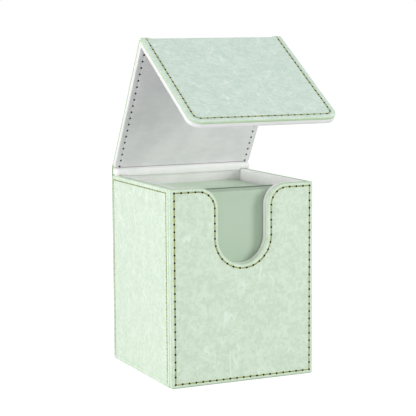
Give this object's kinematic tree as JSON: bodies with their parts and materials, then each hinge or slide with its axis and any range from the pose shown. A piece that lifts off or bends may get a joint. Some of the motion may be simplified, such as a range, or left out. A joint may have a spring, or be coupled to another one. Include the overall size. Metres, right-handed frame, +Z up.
{
  "type": "card deck box",
  "caption": "Leather-covered box for trading cards with a thumb notch in front and a hinged lid whose front flap folds over the notch.",
  "frame": {"origin": "centre of the box's footprint, on the surface that it stands on", "axes": "+Z up; -Y out of the front wall with the thumb notch; +X to the right when facing that wall; the lid is at the angle its leather hinge holds"},
  "size_m": [0.083, 0.1097, 0.1797],
  "materials": {
    "leather": "pale mint coated leather with a fine crackled grain, satin",
    "microfibre": "white brushed microfibre, matt",
    "greyboard": "raw pressed paper board, matt",
    "magnet": "nickel-plated",
    "card_sleeves": "pale green matt sleeves",
    "divider_card": "green matt sheet"
  },
  "bodies": {
    "box": {"front_cover": "leather", "front_board": "greyboard", "front_inner_board": "greyboard", "front_lining": "microfibre", "rear_cover": "leather", "rear_board": "greyboard", "rear_inner_board": "greyboard", "rear_lining": "microfibre", "left_cover": "leather", "left_board": "greyboard", "left_inner_board": "greyboard", "left_lining": "microfibre", "right_cover": "leather", "right_board": "greyboard", "right_inner_board": "greyboard", "right_lining": "microfibre", "base_cover": "leather", "base_board": "greyboard", "base_inner_board": "greyboard", "base_lining": "microfibre", "wall_magnets": "magnet", "rear_hinge_leather": "leather", "rear_hinge_lining": "microfibre"},
    "lid": {"lid_cover": "leather", "lid_board": "greyboard", "lid_inner_board": "greyboard", "lid_lining": "microfibre", "flap_hinge_leather": "leather", "flap_hinge_lining": "microfibre"},
    "flap": {"flap_cover": "leather", "flap_board": "greyboard", "flap_inner_board": "greyboard", "flap_lining": "microfibre", "flap_magnets": "magnet"},
    "packet": {"front_packet": "card_sleeves"},
    "divider": {"deck_divider": "divider_card"},
    "deck": {"main_deck": "card_sleeves"}
  },
  "joints": [
    {"name": "lid_hinge", "type": "hinge", "parent": "box", "child": "lid", "pos_m": [0, 0.03981, 0.10721], "axis": [-1, 0, 0], "range_deg": [-58, 156], "deforming": ["rear_hinge_leather", "rear_hinge_lining"]},
    {"name": "flap_hinge", "type": "hinge", "parent": "lid", "child": "flap", "pos_m": [0, -0.00329, 0.17998], "axis": [-1, 0, 0], "range_deg": [0, 91], "deforming": ["flap_hinge_leather", "flap_hinge_lining"]},
    {"name": "packet_lift", "type": "slide", "parent": "box", "child": "packet", "axis": [0, 0, 1], "range_m": [0, 0.0035]},
    {"name": "divider_lift", "type": "slide", "parent": "box", "child": "divider", "axis": [0, 0, 1], "range_m": [0, 0.003]},
    {"name": "deck_lift", "type": "slide", "parent": "box", "child": "deck", "axis": [0, 0, 1], "range_m": [0, 0.0055]}
  ]
}
